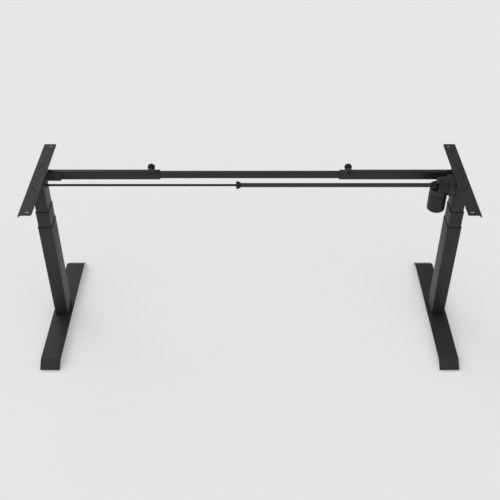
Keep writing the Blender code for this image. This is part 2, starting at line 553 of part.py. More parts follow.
def make_motor():
    low, high = MOTOR_SPAN
    can = [(0, high), (MOTOR_RADIUS, high), (MOTOR_RADIUS, low + 0.007)]
    can += [(MOTOR_RADIUS - 0.007 + r, z) for r, z in arc(0, low + 0.007, 0.007, 0, -90, 4)[1:]]
    can += [(0.012, low), (0.012, low + 0.0015), (0, low + 0.0015)]
    turned("motor_can", can, (MOTOR_X, MOTOR_Y, 0), steps=32, material=MOTOR_PAINT)
    start, end = GEARBOX_SPAN
    ribbed = [(0.0046, end), (GEARBOX_RADIUS, end)]
    for rib in (0.0215, 0.0130, 0.0045):
        ribbed += [(GEARBOX_RADIUS, start + rib + 0.0040), (GEARBOX_RADIUS - 0.0025, start + rib + 0.0030),
                   (GEARBOX_RADIUS - 0.0025, start + rib), (GEARBOX_RADIUS, start + rib - 0.0010)]
    ribbed += [(GEARBOX_RADIUS, start + 0.0015), (GEARBOX_RADIUS - 0.0015, start), (0.0046, start)]
    gearbox = turned("motor_gearbox", ribbed, (0, COLUMN_Y, SHAFT_Z), TURN_X, steps=32, material=CAST, closed=True)
    edge = 0.0025
    neck_profile = [(0, NECK_TOP), (NECK_RADIUS - edge, NECK_TOP), (NECK_RADIUS, NECK_TOP - edge),
                    (NECK_RADIUS, high + GAP), (0, high + GAP)]
    join(gearbox, turned("gearbox_neck", neck_profile, (MOTOR_X, MOTOR_Y, 0), steps=32, collection=CUTTERS))
    cut(gearbox, block("gearbox_face", (end, -0.060, 0.590), (end + 0.030, 0.060, 0.680), collection=CUTTERS))
    flange_start, flange_end = FLANGE_SPAN
    bevel = 0.002
    flange_profile = [(0.0105, flange_end), (FLANGE_RADIUS - bevel, flange_end), (FLANGE_RADIUS, flange_end - bevel),
                      (FLANGE_RADIUS, flange_start + 0.008), (FLANGE_RADIUS - 0.006, flange_start),
                      (0.0105, flange_start)]
    flange = turned("gearbox_flange", flange_profile, (0, COLUMN_Y, SHAFT_Z), TURN_X, steps=40, material=CAST,
                    closed=True)
    cut(flange, block("flange_flat", (0.710, -0.060, FLANGE_TOP), (0.760, 0.060, FLANGE_TOP + 0.030),
                      collection=CUTTERS))
    gland = [(0, 0.0120), (0.0040, 0.0120), (0.0055, 0.0100), (0.0055, 0.0030), (0.0075, 0.0030), (0.0075, 0), (0, 0)]
    turned("cable_gland", gland, (MOTOR_X, MOTOR_Y + MOTOR_RADIUS + 2 * GAP, 0.552), TURN_Y, steps=16,
           material=PLASTIC)


# ---- assembly ---------------------------------------------------------------------------------------------
for leg, direction_x in SIDES:
    make_foot(leg, direction_x)
    make_columns(leg, direction_x)
    make_lifting_gear(leg, direction_x)
    make_head(leg, direction_x)
    make_bracket(leg, direction_x)
    make_outer_rail(leg, direction_x)
    make_rail_socket(leg, direction_x)
    make_clamp(leg, direction_x)
make_centre_rail()
make_drive_shaft()
make_motor()
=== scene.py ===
"""Looks of the height-adjustable desk frame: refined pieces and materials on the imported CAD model."""
import json
from math import atan2, cos, degrees, pi, radians, sin

import bmesh
import bpy
from mathutils import Euler, Matrix, Vector


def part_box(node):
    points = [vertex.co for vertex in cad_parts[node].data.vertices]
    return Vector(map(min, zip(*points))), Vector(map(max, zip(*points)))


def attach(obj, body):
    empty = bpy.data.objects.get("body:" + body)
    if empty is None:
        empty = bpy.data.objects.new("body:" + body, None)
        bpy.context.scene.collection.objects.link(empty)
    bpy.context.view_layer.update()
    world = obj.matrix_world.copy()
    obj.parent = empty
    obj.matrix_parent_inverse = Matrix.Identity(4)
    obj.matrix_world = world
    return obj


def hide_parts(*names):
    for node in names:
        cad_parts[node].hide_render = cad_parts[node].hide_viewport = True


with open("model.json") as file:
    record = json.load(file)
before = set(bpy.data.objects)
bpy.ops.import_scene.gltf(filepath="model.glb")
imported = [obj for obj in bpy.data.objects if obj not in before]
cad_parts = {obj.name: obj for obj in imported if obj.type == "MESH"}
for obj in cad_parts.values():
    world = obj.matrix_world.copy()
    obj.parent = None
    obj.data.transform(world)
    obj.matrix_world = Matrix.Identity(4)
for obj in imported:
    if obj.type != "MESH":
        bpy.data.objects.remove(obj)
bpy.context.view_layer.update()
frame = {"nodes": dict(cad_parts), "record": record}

# ---- sizes taken from the CAD nodes, and the few that a node's box doesn't give (metres)
SIDES = (("left", -1), ("right", 1))
ENDS = (("front", -1), ("rear", 1))
SHEET = 0.0025                  # folded sheet of feet and brackets
TUBE_WALL = 0.0016
EDGE = 0.0004                   # broken edge of cut sheet and tube
GAP = 0.0003
SMOOTH = 32                     # faces that meet at less than this many degrees are shaded smooth
CLEAR = 0.01                    # how far a cutter reaches past what it cuts
BRACKET_SCREW = 0.0030          # shank radius
SCREW_HOLE = 0.0033             # radius of the holes for the bracket screws and the clamp screw
SCREW_HOLE_BOTTOM = 0.6635

# Turns of a piece, which is first built upright
UPRIGHT = (0, 0, 0)
UPSIDE_DOWN = (pi, 0, 0)
ALONG_X = (pi / 2, 0, pi / 2)     # local x, y and height become Y, Z and X
AGAINST_X = (pi / 2, 0, -pi / 2)  # local x, y and height become -Y, Z and -X
TIPPED_TO_X = (0, pi / 2, 0)           # local x, y and height become -Z, Y and X
TIPPED_FROM_X = (0, -pi / 2, 0)        # local x, y and height become Z, Y and -X
ALONG_Y = (-pi / 2, 0, 0)              # local x, y and height become X, -Z and Y
FACING_FRONT = (pi / 2, 0, 0)          # local x, y and height become X, Z and -Y


def box_of(node):
    low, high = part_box(node)
    return Vector(low), Vector(high)


def measures(node):
    """The lowest corner, highest corner and middle of a node's box."""
    low, high = box_of(node)
    return low, high, (low + high) / 2


def middle_of(node):
    return measures(node)[2]


# ---- materials ---------------------------------------------------
def add_node(owner, kind, output, inputs):
    """Adds a node to a material or a world, sets or connects its inputs and gives one of its outputs."""
    node = owner.node_tree.nodes.new("ShaderNode" + kind)
    for name, value in inputs.items():
        if isinstance(value, bpy.types.NodeSocket):
            owner.node_tree.links.new(value, node.inputs[name])
        else:
            node.inputs[name].default_value = value
    return node.outputs[output]


class Shader:
    """A Principled material with small helpers for its procedural nodes."""

    def __init__(self, name, metallic=0.0, specular=0.5):
        self.material = bpy.data.materials.new(name)
        self.material.use_nodes = True
        self.nodes = self.material.node_tree.nodes
        self.links = self.material.node_tree.links
        self.surface = self.nodes["Principled BSDF"]
        self.surface.inputs["Metallic"].default_value = metallic
        self.surface.inputs["Specular IOR Level"].default_value = specular
        self.place = self.nodes.new("ShaderNodeTexCoord").outputs["Object"]

    def link(self, output, socket):
        self.links.new(output, socket)

    def stretched(self, scale):
        """Coordinates scaled differently along each axis, for brushed and drawn metal."""
        return add_node(self.material, "Mapping", "Vector", {"Scale": scale, "Vector": self.place})

    def noise(self, scale, detail=2.0, roughness=0.5, place=None):
        return add_node(self.material, "TexNoise", "Fac",
                        {"Scale": scale, "Detail": detail, "Roughness": roughness,
                                                           "Vector": place or self.place})

    def cells(self, scale):
        return add_node(self.material, "TexVoronoi", "Distance", {"Scale": scale, "Vector": self.place})

    def spread(self, value, low, high, start=0.3, end=0.7):
        return add_node(self.material, "MapRange", "Result",
                        {"From Min": start, "From Max": end, "To Min": low,
                                                              "To Max": high, "Value": value})

    def tint(self, value, dark, light, start=0.3, end=0.7):
        ramp = self.nodes.new("ShaderNodeValToRGB")
        ramp.color_ramp.elements[0].position = start
        ramp.color_ramp.elements[1].position = end
        ramp.color_ramp.elements[0].color = (*dark, 1)
        ramp.color_ramp.elements[1].color = (*light, 1)
        self.link(value, ramp.inputs["Fac"])
        return ramp.outputs["Color"]

    def math(self, operation, first, second):
        node = self.nodes.new("ShaderNodeMath")
        node.operation = operation
        for value, socket in zip((first, second), node.inputs):
            if isinstance(value, (int, float)):
                socket.default_value = value
            else:
                self.link(value, socket)
        return node.outputs["Value"]

    def bump(self, height, distance, strength=1.0, under=None):
        inputs = {"Distance": distance, "Strength": strength, "Height": height}
        if under is not None:
            inputs["Normal"] = under
        return add_node(self.material, "Bump", "Normal", inputs)

    def finish(self, colour, roughness, normal):
        self.link(colour, self.surface.inputs["Base Color"])
        self.link(roughness, self.surface.inputs["Roughness"])
        self.link(normal, self.surface.inputs["Normal"])
        return self.material


def grey(value, warmth=0.0):
    return (value * (1 + warmth), value, value * (1 - warmth))


def powder_coat(name, tone):
    """Fine-grained black powder coat: a pebbled skin of half-millimetre grains over a slightly wavy film."""
    shader = Shader(name, specular=0.42)
    grain = shader.noise(2100, 3, 0.6)
    pebble = shader.cells(1300)
    film = shader.noise(160, 2, 0.5)
    cloud = shader.noise(5, 3, 0.6)
    fleck = shader.math("ADD", shader.math("MULTIPLY", grain, 0.5), shader.math("MULTIPLY", cloud, 0.5))
    colour = shader.tint(fleck, grey(tone * 0.72), grey(tone * 1.35), 0.36, 0.64)
    roughness = shader.spread(shader.noise(420, 3, 0.6), 0.44, 0.58)
    skin = shader.bump(film, 0.00012, 0.5)
    skin = shader.bump(pebble, 0.00008, 0.35, skin)
    normal = shader.bump(grain, 0.00006, 0.6, skin)
    return shader.finish(colour, roughness, normal)


def enamel(name, tone):
    """Smoother sprayed enamel with faint orange peel."""
    shader = Shader(name, specular=0.35)
    peel = shader.noise(420, 2, 0.5)
    cloud = shader.noise(14, 3, 0.6)
    colour = shader.tint(cloud, grey(tone * 0.8), grey(tone * 1.25))
    roughness = shader.spread(shader.noise(90, 3, 0.6), 0.40, 0.50)
    return shader.finish(colour, roughness, shader.bump(peel, 0.00008, 0.5))


def casting(name, tone):
    """Painted die casting: a sandy skin with soft unevenness."""
    shader = Shader(name, specular=0.45)
    sand = shader.noise(1500, 4, 0.65)
    swell = shader.noise(110, 3, 0.5)
    colour = shader.tint(shader.noise(40, 4, 0.6), grey(tone * 0.75), grey(tone * 1.3))
    roughness = shader.spread(sand, 0.42, 0.60)
    skin = shader.bump(swell, 0.00025, 0.6)
    return shader.finish(colour, roughness, shader.bump(sand, 0.00007, 0.8, skin))


def moulded_plastic(name, tone):
    """Nylon with a spark-eroded grain."""
    shader = Shader(name, specular=0.4)
    spark = shader.noise(1100, 4, 0.7)
    colour = shader.tint(shader.noise(60, 3, 0.5), grey(tone * 0.8), grey(tone * 1.25))
    roughness = shader.spread(spark, 0.46, 0.64)
    return shader.finish(colour, roughness, shader.bump(spark, 0.00007, 0.9))


def rubber(name):
    shader = Shader(name, specular=0.3)
    bloom = shader.noise(45, 4, 0.6)
    colour = shader.tint(bloom, grey(0.010), grey(0.024))
    roughness = shader.spread(shader.noise(600, 3, 0.6), 0.72, 0.90)
    return shader.finish(colour, roughness, shader.bump(shader.noise(900, 3, 0.6), 0.00008, 0.7))


def plated_steel(name):
    """Zinc-plated or ground steel with fine marks round the part."""
    shader = Shader(name, metallic=1.0)
    marks = shader.noise(1, 4, 0.6, shader.stretched((260, 260, 2600)))
    colour = shader.tint(shader.noise(70, 3, 0.6), grey(0.42, 0.01), grey(0.62, 0.02))
    roughness = shader.spread(marks, 0.24, 0.40)
    return shader.finish(colour, roughness, shader.bump(marks, 0.00003, 0.6))


def black_oxide(name):
    """Blackened steel, drawn along X, with a thin oily sheen."""
    shader = Shader(name, specular=0.13)
    drawn = shader.noise(1, 4, 0.6, shader.stretched((60, 1500, 1500)))
    colour = shader.tint(shader.noise(30, 4, 0.6), grey(0.010), grey(0.018, 0.02))
    roughness = shader.spread(drawn, 0.38, 0.50)
    return shader.finish(colour, roughness, shader.bump(drawn, 0.00002, 0.5))


def bronze(name):
    shader = Shader(name, metallic=1.0)
    turned_marks = shader.noise(1, 3, 0.6, shader.stretched((200, 200, 3000)))
    colour = shader.tint(shader.noise(60, 3, 0.6), (0.40, 0.25, 0.10), (0.58, 0.39, 0.17))
    roughness = shader.spread(turned_marks, 0.26, 0.42)
    return shader.finish(colour, roughness, shader.bump(turned_marks, 0.00004, 0.7))


POWDER = powder_coat("powder_coat_frame", 0.0175)
MOTOR = enamel("motor_enamel", 0.011)
CAST = casting("painted_casting", 0.0125)
PLASTIC = moulded_plastic("black_nylon", 0.013)
KNOB_PLASTIC = moulded_plastic("grey_nylon", 0.030)
RUBBER = rubber("glide_rubber")
STEEL = plated_steel("plated_steel")
BLACK_STEEL = black_oxide("black_oxide_steel")
BRONZE = bronze("nut_bronze")
SHAFT_COAT = powder_coat("powder_coat_shaft", 0.026)
FINISHES = {"powder_coat": POWDER, "motor_paint": MOTOR, "cast_housing": CAST, "black_plastic": PLASTIC,
            "rubber": RUBBER, "bright_steel": STEEL, "black_steel": BLACK_STEEL, "bronze": BRONZE}
SLOT_OF_FINISH = {material.name: slot for slot, material in FINISHES.items()}
SLOT_OF_FINISH[SHAFT_COAT.name] = "powder_coat"
SLOT_OF_FINISH[KNOB_PLASTIC.name] = "black_plastic"


# ---- outlines and profiles ---------------------------------------
def arc(cx, cy, radius, start, end, steps):
    angles = [radians(start + (end - start) * i / steps) for i in range(steps + 1)]
    return [(cx + radius * cos(a), cy + radius * sin(a)) for a in angles]


def rounded_rectangle(width, depth, radius, steps=8):
    x, y = width / 2 - radius, depth / 2 - radius
    corners = ((x, y, 0), (-x, y, 90), (-x, -y, 180), (x, -y, 270))
    return [p for cx, cy, start in corners for p in arc(cx, cy, radius, start, start + 90, steps)]


def circle(radius, points=48):
    angles = [2 * pi * i / points for i in range(points)]
    return [(radius * cos(a), radius * sin(a)) for a in angles]


def hexagon(across, points=48):
    """Points round a hexagon, spaced by angle so that it joins a circle of as many points."""
    outline = []
    for i in range(points):
        angle = 2 * pi * i / points
        radius = across / 2 / cos(angle % (pi / 3) - pi / 6)
        outline.append((radius * cos(angle), radius * sin(angle)))
    return outline


def lobes(radius, depth, count=12, points=144):
    """A round grip with flutes of some depth, or none."""
    outline = []
    for i in range(points):
        angle = 2 * pi * i / points
        reach = radius - depth * (0.5 - 0.5 * cos(count * angle)) ** 2.2
        outline.append((reach * cos(angle), reach * sin(angle)))
    return outline


TINY = 1e-7
STRAIGHT = 0.02                 # sine of the turn under which a corner is left as it is


def thread(base, pitch, turns, crest, root, parts):
    """Profile of a thread, whose crest and root start and end at the given parts of each turn's height."""
    return [(radius, base + (turn + part) * pitch) for turn in range(turns)
            for radius, part in zip((crest, crest, root, root), parts)]


def eased(points, radius, steps=4, closed=False):
    """The same path with its corners rounded."""
    count = len(points)
    result = []
    for i, (px, py) in enumerate(points):
        if not closed and i in (0, count - 1):
            result.append((px, py))
            continue
        before, after = points[i - 1], points[(i + 1) % count]
        here = Vector((px, py))
        back, ahead = Vector(before) - here, Vector(after) - here
        shorter = min(back.length, ahead.length)
        if shorter < TINY or abs(back.normalized().cross(ahead.normalized())) < STRAIGHT:
            result.append((px, py))
            continue
        reach = min(radius, shorter * 0.45)
        start, end = here + back.normalized() * reach, here + ahead.normalized() * reach
        for k in range(steps + 1):
            t = k / steps
            spot = start * (1 - t) ** 2 + here * 2 * t * (1 - t) + end * t * t
            result.append((spot.x, spot.y))
    return result


def inset(outline, distance):
    """The outline, which runs anticlockwise, moved inwards by distance."""
    count = len(outline)
    result = []
    for i in range(count):
        here = Vector(outline[i])
        back, ahead = here - Vector(outline[i - 1]), Vector(outline[(i + 1) % count]) - here
        normal = Vector((-back.y, back.x)).normalized() + Vector((-ahead.y, ahead.x)).normalized()
        normal.normalize()
        side = Vector((-back.y, back.x)).normalized()
        here += normal * distance / max(normal.dot(side), 0.4)
        result.append((here.x, here.y))
    return result


# ---- mesh builders -----------------------------------------------
def new_piece(name, work, material, place=(0, 0, 0), turn=UPRIGHT, smooth=SMOOTH):
    """Makes an object from a bmesh, with its place put into the mesh and its normals turned outwards."""
    bmesh.ops.remove_doubles(work, verts=work.verts, dist=TINY)
    bmesh.ops.recalc_face_normals(work, faces=work.faces)
    matrix = Matrix.Translation(place) @ Euler(turn).to_matrix().to_4x4()
    bmesh.ops.transform(work, matrix=matrix, verts=work.verts)
    mesh = bpy.data.meshes.new(name)
    work.to_mesh(mesh)
    work.free()
    mesh.materials.append(material)
    mesh.shade_smooth()
    mesh.set_sharp_from_angle(angle=radians(smooth))
    piece = bpy.data.objects.new(name, mesh)
    bpy.context.scene.collection.objects.link(piece)
    return piece


def loft(name, loops, material, place=(0, 0, 0), turn=UPRIGHT, ring=False, smooth=SMOOTH):
    """A skin over loops of equally many points, each (outline, height). A loop of one point closes to it."""
    work = bmesh.new()
    rows = [[work.verts.new((x, y, height)) for x, y in outline] for outline, height in loops]
    for first, second in zip(rows, rows[1:] + rows[:1] if ring else rows[1:]):
        if len(first) == 1 or len(second) == 1:
            pole, row = (first[0], second) if len(first) == 1 else (second[0], first)
            for a, b in zip(row, row[1:] + row[:1]):
                work.faces.new((a, b, pole))
            continue
        count = len(first)
        for i in range(count):
            j = (i + 1) % count
            work.faces.new((first[i], first[j], second[j], second[i]))
    if not ring:
        for row in (rows[0], rows[-1]):
            if len(row) > 2:
                work.faces.new(row)
    return new_piece(name, work, material, place, turn, smooth)


def turned(name, profile, material, place=(0, 0, 0), turn=UPRIGHT, ring=False, ease=0.0004, points=64):
    """A turned piece from (radius, height) pairs."""
    path = eased(profile, ease, 3, closed=ring)
    loops = [(circle(r, points) if r > 1e-6 else [(0, 0)], h) for r, h in path]
    return loft(name, loops, material, place, turn, ring=ring)


def prism(name, outline, low, high, material, place=(0, 0, 0), turn=UPRIGHT, edge=EDGE):
    """An outline extruded between two heights, with its edges broken."""
    inner = inset(outline, edge)
    middle = inset(outline, edge * 0.3)
    loops = [(inner, low), (middle, low + edge * 0.3), (outline, low + edge), (outline, high - edge),
             (middle, high - edge * 0.3), (inner, high)]
    return loft(name, loops, material, place, turn)


def hollow_section(name, size, wall, radius, low, high, place, turn=UPRIGHT):
    """A powder-coated rectangular tube with drawn corners and deburred ends."""
    outer = rounded_rectangle(*size, radius)
    bore = rounded_rectangle(size[0] - 2 * wall, size[1] - 2 * wall, max(radius - wall, 0.0006))
    soft = EDGE * 0.3
    loops = [(inset(outer, EDGE), low), (inset(outer, soft), low + soft), (outer, low + EDGE),
             (outer, high - EDGE), (inset(outer, soft), high - soft), (inset(outer, EDGE), high),
             (inset(bore, -EDGE), high), (inset(bore, -soft), high - soft), (bore, high - EDGE),
             (bore, low + EDGE), (inset(bore, -soft), low + soft), (inset(bore, -EDGE), low)]
    return loft(name, loops, POWDER, place, turn, ring=True)


def slot_outline(start, end, radius):
    angle = degrees(atan2(end[1] - start[1], end[0] - start[0]))
    return arc(*end, radius, angle - 90, angle + 90, 10) + arc(*start, radius, angle + 90, angle + 270, 10)


def anticlockwise(outline):
    area = sum(a[0] * b[1] - b[0] * a[1] for a, b in zip(outline, outline[1:] + outline[:1]))
    return outline if area > 0 else outline[::-1]


def cutter(outline, low, high, place=(0, 0, 0), turn=UPRIGHT):
    outline = anticlockwise(outline)
    return loft("cutter", [(outline, low), (outline, high)], POWDER, place, turn)


def round_cutter(radius, low, high, place, turn=UPRIGHT, points=32):
    outline = circle(radius, points)
    return loft("cutter", [(outline, low), (outline, high)], POWDER, place, turn)


def settle(piece):
    """Applies a piece's modifiers and shades it again."""
    graph = bpy.context.evaluated_depsgraph_get()
    mesh = bpy.data.meshes.new_from_object(piece.evaluated_get(graph))
    piece.modifiers.clear()
    piece.data = mesh
    mesh.shade_smooth()
    mesh.set_sharp_from_angle(angle=radians(SMOOTH))


def carve(piece, tools, operation="DIFFERENCE"):
    """Cuts the tools from a piece, or joins them to it, and removes them."""
    for tool in tools:
        modifier = piece.modifiers.new("carve", "BOOLEAN")
        modifier.operation = operation
        modifier.solver = "EXACT"
        modifier.object = tool
    bpy.context.view_layer.update()
    settle(piece)
    for tool in tools:
        bpy.data.objects.remove(tool)


def break_edges(piece, width, angle=35):
    """Bevels a piece's sharp edges slightly, so that they catch the light."""
    bevel = piece.modifiers.new("edges", "BEVEL")
    bevel.width = width
    bevel.segments = 2
    bevel.angle_limit = radians(angle)
    bevel.use_clamp_overlap = True
    bpy.context.view_layer.update()
    settle(piece)


def socket_head(name, radius, height, drive, place, turn, domed=False):
    """A cap screw's head, standing on height 0, with a hexagon socket."""
    rim = radius * (0.62 if domed else 0.92)
    depth = height * 0.55
    loops = [(circle(radius), 0), (circle(radius), height * (0.25 if domed else 0.86))]
    if domed:
        loops += [(circle(radius * 0.93), height * 0.62), (circle(radius * 0.80), height * 0.88)]
    loops += [(circle(rim), height), (hexagon(drive * 1.08), height), (hexagon(drive), height - drive * 0.06),
              (hexagon(drive), height - depth), (circle(drive * 0.2), height - depth - drive * 0.12)]
    return loft(name, loops, BLACK_STEEL, place, turn)


def ride(piece, body, replaces=()):
    """Fixes a piece to a body, in place of CAD nodes if any are named."""
    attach(piece, body)
    if replaces:
        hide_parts(*replaces)
    return piece


# ---- feet and glides ---------------------------------------------
FOOT_SLOPE = 0.036              # length of the slope at each end
FOOT_SLOPE_BEND = 0.004         # half the length of the bend above it
FOOT_SKIRT = 0.004              # height of the side walls' lower edge
FOOT_TIP = 0.0065
FOOT_BEND = 0.0018
FOOT_LEAN = 0.0105              # how far the side walls lean in towards their lower edge
FOOT_BOLT_SPOTS = ((-0.017, -0.030), (0.017, -0.030), (-0.017, 0.030), (0.017, 0.030))


def foot_height(distance, half, top):
    """Height of the foot's upper skin at a distance from its middle, with a soft bend above each slope."""
    bend = FOOT_SLOPE_BEND
    slope = (top - FOOT_TIP) / FOOT_SLOPE
    past = distance - (half - FOOT_SLOPE)
    if past < -bend:
        return top
    if past > bend:
        return top - slope * past
    return top - slope * (past + bend) ** 2 / (4 * bend)


def channel_section(width, top):
    """Cross-section of the foot, open below and with walls that lean in, as one closed outline."""
    half, skirt = width / 2, FOOT_SKIRT
    ceiling = max(top - SHEET, skirt + 0.0008)
    lean = FOOT_LEAN * (top - ceiling) / (top - skirt)
    wall = SHEET * 1.08
    edge, inner_edge, inner_roof = half - FOOT_LEAN, half - FOOT_LEAN - wall, half - lean - wall
    outer = [(edge, skirt), (half, top), (-half, top), (-edge, skirt)]
    inner = [(-inner_edge, skirt), (-inner_roof, ceiling), (inner_roof, ceiling), (inner_edge, skirt)]
    return eased(outer, FOOT_BEND, 5) + eased(inner, FOOT_BEND * 0.5, 5)


def build_foot(side):
    low, high, centre = measures(side + "_foot")
    half, width, top = (high.y - low.y) / 2, high.x - low.x, high.z
    rise = half - FOOT_SLOPE
    stations = [half, half - 0.0006, half - 0.004, half - 0.016]
    stations += [rise + FOOT_SLOPE_BEND * (1 - 2 * k / 5) for k in range(6)]
    stations += [rise - 0.02, rise * 0.6, rise * 0.3]
    stations = [-s for s in stations] + [0.0] + stations[::-1]
    loops = []
    for y in stations:
        height = foot_height(abs(y), half, top)
        if abs(y) == half:
            height -= 0.0005
        loops.append((channel_section(width, height), y))
    shell = loft(side + "_foot_shell", loops, POWDER, (centre.x, centre.y, 0), FACING_FRONT)
    ride(shell, side + "_base", [side + "_foot"])
    for end, direction in ENDS:
        tip_y = centre.y + direction * (half - SHEET / 2 - 0.0006)
        lip = rounded_rectangle(width - 2 * FOOT_LEAN - 0.001, SHEET, 0.0004, 2)
        ride(prism(f"{side}_foot_{end}_lip", lip, FOOT_SKIRT, FOOT_TIP + 0.0006, POWDER,
                   (centre.x, tip_y, 0)), side + "_base")
        glide_y = middle_of(f"{side}_glide_{end}").y
        roof, boss_end = top - SHEET, 0.0128
        boss = [(0.0043, roof), (0.0085, roof), (0.0072, roof - 0.0015), (0.0070, boss_end),
                (0.0043, boss_end)]
        ride(turned(f"{side}_foot_{end}_weld_nut", boss, POWDER, (centre.x, glide_y, 0), ring=True),
             side + "_base")
        build_glide(side, end, Vector((centre.x, glide_y, 0)))
    column = middle_of(side + "_outer_column")
    for index, (dx, dy) in enumerate(FOOT_BOLT_SPOTS, 1):
        spot = (column.x + dx, column.y + dy, top - SHEET)
        ride(socket_head(f"{side}_foot_bolt_{index}", 0.0055, 0.0040, 0.0050, spot, UPSIDE_DOWN, domed=True),
             side + "_base")
        washer = [(0.0033, -0.0008), (0.0066, -0.0008), (0.0066, 0.0001), (0.0033, 0.0001)]
        ride(turned(f"{side}_foot_washer_{index}", washer, STEEL, spot, ring=True, ease=0.0002),
             side + "_base")


def build_glide(side, end, place):
    """Levelling glide: a ribbed rubber pad under a hexagon collar on a threaded stud."""
    body = f"{side}_{end}_glide"
    low, high = box_of(f"{side}_glide_{end}")
    radius = (high.x - low.x) / 2
    pad = [(0, 0.0006), (0.0085, 0.0006), (0.0095, 0), (radius - 0.0008, 0), (radius, 0.0009),
           (radius, 0.0030), (radius - 0.0018, 0.0041), (0.0080, 0.0047), (0, 0.0047)]
    ride(turned(f"{side}_{end}_glide_pad", pad, RUBBER, place), body, [f"{side}_glide_{end}"])
    collar = [(hexagon(0.0100), 0.0040), (hexagon(0.0108), 0.0045), (hexagon(0.0108), 0.0072),
              (circle(0.0052), 0.0076)]
    ride(loft(f"{side}_{end}_glide_hexagon", collar, STEEL, place), body)
    stud = [(0, 0.0068), (0.0030, 0.0070)]
    stud += thread(0.0078, 0.00125, 14, 0.0039, 0.0034, (0.25, 0.40, 0.70, 0.95))
    stud += [(0.0030, 0.0255), (0, 0.0255)]
    ride(turned(f"{side}_{end}_glide_stud", stud, STEEL, place, ease=0.0001, points=32), body)


# ---- columns -----------------------------------------------------
SHAFT_HOLE = 0.0108             # radius


def tube_for(node, radius, body, name):
    low, high, centre = measures(node)
    size = (high.x - low.x, high.y - low.y)
    piece = hollow_section(name, size, TUBE_WALL, radius, low.z, high.z, (centre.x, centre.y, 0))
    return ride(piece, body, [node])


def guide_for(node, passing, radius, body, name):
    """The guide ring: a plastic collar with a small step and a lead-in towards the tube that passes it."""
    low, high, centre = measures(node)
    inner_low, inner_high = box_of(passing)
    bore = rounded_rectangle(inner_high.x - inner_low.x + 2 * GAP, inner_high.y - inner_low.y + 2 * GAP,
                             radius)
    outer = rounded_rectangle(high.x - low.x, high.y - low.y, radius + 0.0014)
    tall = high.z - low.z
    loops = [(inset(outer, 0.0006), low.z), (inset(outer, 0.0001), low.z + 0.0004), (outer, low.z + 0.0009),
             (outer, low.z + tall * 0.62), (inset(outer, 0.0003), low.z + tall * 0.80),
             (inset(outer, 0.0010), high.z), (inset(bore, -0.0007), high.z),
             (inset(bore, -0.0002), high.z - 0.0004), (bore, high.z - 0.0010), (bore, low.z)]
    ride(loft(name, loops, PLASTIC, (centre.x, centre.y, 0), ring=True), body, [node])


def build_columns(side, sign):
    tube_for(side + "_outer_column", 0.0045, side + "_base", side + "_outer_tube")
    guide_for(side + "_outer_guide", side + "_mid_column", 0.0040, side + "_base", side + "_outer_collar")
    tube_for(side + "_mid_column", 0.0040, side + "_mid", side + "_mid_tube")
    guide_for(side + "_mid_guide", side + "_inner_column", 0.0035, side + "_mid", side + "_mid_collar")
    inner = tube_for(side + "_inner_column", 0.0035, side + "_top", side + "_inner_tube")
    shaft = middle_of("hex_rod")
    low, high = box_of(side + "_inner_column")
    face = high.x if sign < 0 else low.x
    carve(inner, [round_cutter(SHAFT_HOLE, -0.006, 0.006, (face, shaft.y, shaft.z), ALONG_X, 64)])
    bush = [(0.0052, -0.0030), (0.0104, -0.0030), (0.0104, 0.0002), (0.0138, 0.0003), (0.0138, 0.0014),
            (0.0125, 0.0022), (0.0072, 0.0022), (0.0052, 0.0016)]
    if sign < 0:
        ride(turned("left_shaft_bush", bush, PLASTIC, (face, shaft.y, shaft.z), TIPPED_TO_X, ring=True),
             "left_top")


def screw_way_for(node):
    """Cutter for the hole of a bracket screw in the piece under the bracket."""
    screw = middle_of(node)
    return round_cutter(SCREW_HOLE, SCREW_HOLE_BOTTOM, 0.68, (screw.x, screw.y, 0))


def build_head(side, sign):
    """The gear housing in the top of the inner tube, which reaches up to the bracket's underside."""
    name = side + "_head_housing"
    shaft = middle_of("hex_rod")
    low, high, centre = measures(name)
    outline = rounded_rectangle(high.x - low.x, high.y - low.y, 0.0016)
    loops = [(inset(outline, 0.0006), low.z), (outline, low.z + 0.0006), (outline, high.z - 0.0005),
             (inset(outline, 0.0005), high.z)]
    head = loft(side + "_head_casting", loops, CAST, (centre.x, centre.y, 0))
    middle = (centre.x, centre.y, 0)
    room = cutter(rounded_rectangle(0.0340, 0.0360, 0.003), shaft.z - 0.0233, shaft.z + 0.0187, middle)
    face = centre.x - sign * (high.x - low.x) / 2
    shaft_way = round_cutter(0.0100, -0.010, 0.010, (face, shaft.y, shaft.z), ALONG_X, 64)
    spindle_way = round_cutter(0.0066, low.z - CLEAR, shaft.z - 0.0200, middle, points=48)
    carve(head, [room, shaft_way, spindle_way, screw_way_for(side + "_bracket_screw_2")])
    break_edges(head, 0.0003)
    ride(head, side + "_top", [name])


# ---- side brackets -----------------------------------------------
# Ends of each slot's middle line, measured outwards and back from the middle of the desk, and its radius
SLANTING_SLOTS = (((0.7780, 0.055), (0.7575, 0.089), 0.0015), ((0.7780, -0.055), (0.7575, -0.089), 0.0015))
END_SLOTS = (((0.7575, 0.214), (0.7655, 0.214), 0.0027), ((0.7575, -0.214), (0.7655, -0.214), 0.0027))
BRACKET_INNER_EDGE = 0.7437
BRACKET_BEND = 0.0034
BRACKET_CORNER = 0.006
LIP_CORNER = 0.005
TAB_SPAN = (0.033, 0.059)       # along Y
TAB_REACH = 0.004
WASTE = 0.003                   # how far the corner cutters reach past the plate


